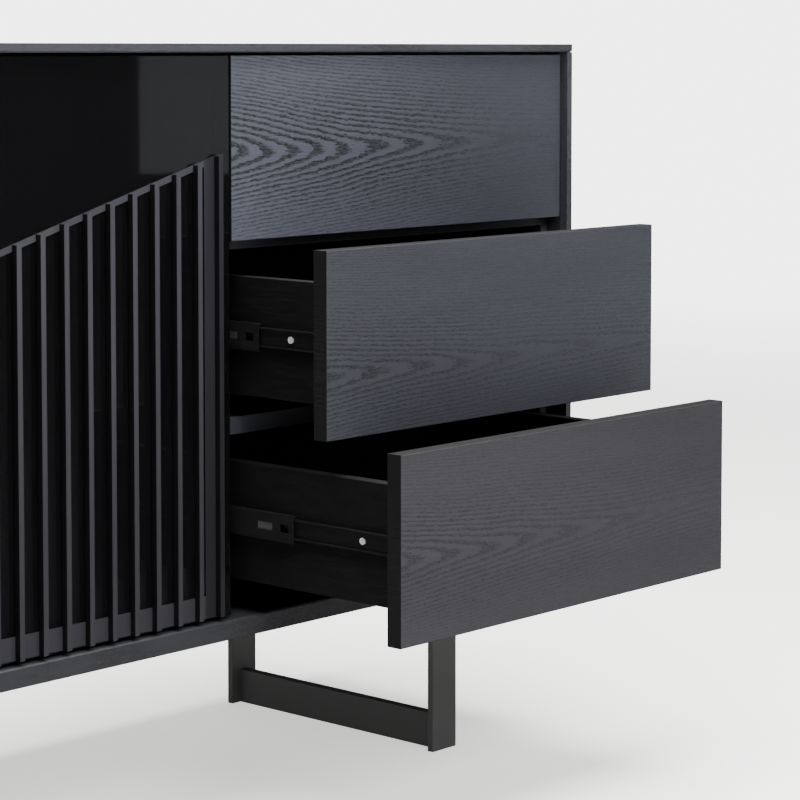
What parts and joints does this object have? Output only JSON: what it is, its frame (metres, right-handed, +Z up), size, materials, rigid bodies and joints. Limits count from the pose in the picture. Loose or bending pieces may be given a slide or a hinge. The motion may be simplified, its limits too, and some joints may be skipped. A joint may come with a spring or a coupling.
{
  "type": "sideboard",
  "caption": "Low sideboard on two steel strip leg frames, with push-open drawers at one end and smoked glass doors carrying upright slats cut along a slope.",
  "frame": {"origin": "on the floor, under the centre of the box round the whole piece as it stands, middle and lower drawer pulled out", "axes": "+X to the right along the length, +Y to the back (the front looks to -Y), +Z up"},
  "size_m": [1.62, 0.625, 0.8],
  "materials": {
    "carcass_wood": "black stained open-pored oak, satin",
    "front_wood": "black stained open-pored oak with arched grain, satin",
    "drawer_wood": "black foil on board, matt",
    "drawer_base": "black foil on board, matt",
    "back_board": "black lacquered board, matt",
    "leg_steel": "fine textured dark grey powder coat",
    "runner_steel": "black zinc plate, satin",
    "pale_plastic": "moulded, matt",
    "smoked_glass": "smoked and back painted, polished",
    "black_aluminium": "black anodised",
    "slat_metal": "dark grey lacquer, satin",
    "grey_plastic": "moulded, matt",
    "black_screws": "black zinc plate",
    "bright_metal": "nickel plate"
  },
  "bodies": {
    "carcass": {"back_panels": "back_board", "bottom_panel": "carcass_wood", "cabinet_rail_screws": "bright_metal", "cabinet_rails": "runner_steel", "cam_bolts": "bright_metal", "cam_locks": "bright_metal", "centre_partition": "carcass_wood", "drawer_partition": "carcass_wood", "drawer_rails": "carcass_wood", "hinge_arms": "bright_metal", "latch_bodies": "grey_plastic", "left_leg_frame": "leg_steel", "left_shelf": "carcass_wood", "left_side_panel": "carcass_wood", "leg_screws": "black_screws", "middle_shelf": "carcass_wood", "pin_sleeves": "bright_metal", "right_leg_frame": "leg_steel", "right_side_panel": "carcass_wood", "shelf_pins": "bright_metal", "top_panel": "carcass_wood"},
    "upper_drawer": {"upper_drawer_back": "drawer_wood", "upper_drawer_bottom": "drawer_base", "upper_drawer_fasteners": "bright_metal", "upper_drawer_front": "front_wood", "upper_drawer_left_side": "drawer_wood", "upper_drawer_rails": "runner_steel", "upper_drawer_right_side": "drawer_wood"},
    "middle_drawer": {"middle_drawer_back": "drawer_wood", "middle_drawer_bottom": "drawer_base", "middle_drawer_fasteners": "bright_metal", "middle_drawer_front": "front_wood", "middle_drawer_left_side": "drawer_wood", "middle_drawer_rails": "runner_steel", "middle_drawer_right_side": "drawer_wood"},
    "lower_drawer": {"lower_drawer_back": "drawer_wood", "lower_drawer_bottom": "drawer_base", "lower_drawer_fasteners": "bright_metal", "lower_drawer_front": "front_wood", "lower_drawer_left_side": "drawer_wood", "lower_drawer_rails": "runner_steel", "lower_drawer_right_side": "drawer_wood"},
    "upper_runners": {"upper_ball_cages": "pale_plastic", "upper_middle_rails": "runner_steel"},
    "middle_runners": {"middle_ball_cages": "pale_plastic", "middle_middle_rails": "runner_steel"},
    "lower_runners": {"lower_ball_cages": "pale_plastic", "lower_middle_rails": "runner_steel"},
    "left_links": {"left_hinge_links": "bright_metal"},
    "right_links": {"right_hinge_links": "bright_metal"},
    "left_door": {"left_door_frame": "black_aluminium", "left_door_glass": "smoked_glass", "left_door_slats": "slat_metal", "left_hinge_cups": "bright_metal"},
    "right_door": {"right_door_frame": "black_aluminium", "right_door_glass": "smoked_glass", "right_door_slats": "slat_metal", "right_hinge_cups": "bright_metal"},
    "left_plunger": {"left_latch_plunger": "grey_plastic"},
    "right_plunger": {"right_latch_plunger": "grey_plastic"}
  },
  "joints": [
    {"name": "upper_drawer_slide", "type": "slide", "parent": "carcass", "child": "upper_drawer", "axis": [0, -1, 0], "range_m": [0, 0.31]},
    {"name": "upper_runner_slide", "type": "slide", "parent": "carcass", "child": "upper_runners", "axis": [0, -1, 0], "range_m": [0, 0.155]},
    {"name": "middle_drawer_slide", "type": "slide", "parent": "carcass", "child": "middle_drawer", "axis": [0, -1, 0], "range_m": [-0.134, 0.176]},
    {"name": "middle_runner_slide", "type": "slide", "parent": "carcass", "child": "middle_runners", "axis": [0, -1, 0], "range_m": [-0.067, 0.088]},
    {"name": "lower_drawer_slide", "type": "slide", "parent": "carcass", "child": "lower_drawer", "axis": [0, -1, 0], "range_m": [-0.233, 0.077]},
    {"name": "lower_runner_slide", "type": "slide", "parent": "carcass", "child": "lower_runners", "axis": [0, -1, 0], "range_m": [-0.1165, 0.0385]},
    {"name": "left_link_turn", "type": "hinge", "parent": "carcass", "child": "left_links", "pos_m": [-0.7791, -0.0512, 0.4965], "axis": [0, 0, -1], "range_deg": [-38, 0]},
    {"name": "left_door_turn", "type": "hinge", "parent": "left_links", "child": "left_door", "pos_m": [-0.7922, -0.0706, 0.4965], "axis": [0, 0, -1], "range_deg": [0, 127.8]},
    {"name": "right_link_turn", "type": "hinge", "parent": "carcass", "child": "right_links", "pos_m": [0.2461, -0.0512, 0.4965], "axis": [0, 0, 1], "range_deg": [-38, 0]},
    {"name": "right_door_turn", "type": "hinge", "parent": "right_links", "child": "right_door", "pos_m": [0.2592, -0.0706, 0.4965], "axis": [0, 0, 1], "range_deg": [0, 127.8]},
    {"name": "left_latch_push", "type": "slide", "parent": "carcass", "child": "left_plunger", "axis": [0, 1, 0], "range_m": [0, 0.003], "stiffness_N_per_m": 150, "springref_m": -0.002},
    {"name": "right_latch_push", "type": "slide", "parent": "carcass", "child": "right_plunger", "axis": [0, 1, 0], "range_m": [0, 0.003], "stiffness_N_per_m": 150, "springref_m": -0.002}
  ],
  "couplings": [
    {"joint": "upper_runner_slide", "follows": "upper_drawer_slide", "ratio": 0.5},
    {"joint": "middle_runner_slide", "follows": "middle_drawer_slide", "ratio": 0.5},
    {"joint": "lower_runner_slide", "follows": "lower_drawer_slide", "ratio": 0.5},
    {"joint": "left_link_turn", "follows": "left_door_turn", "ratio": -0.2958},
    {"joint": "right_link_turn", "follows": "right_door_turn", "ratio": -0.2958}
  ]
}
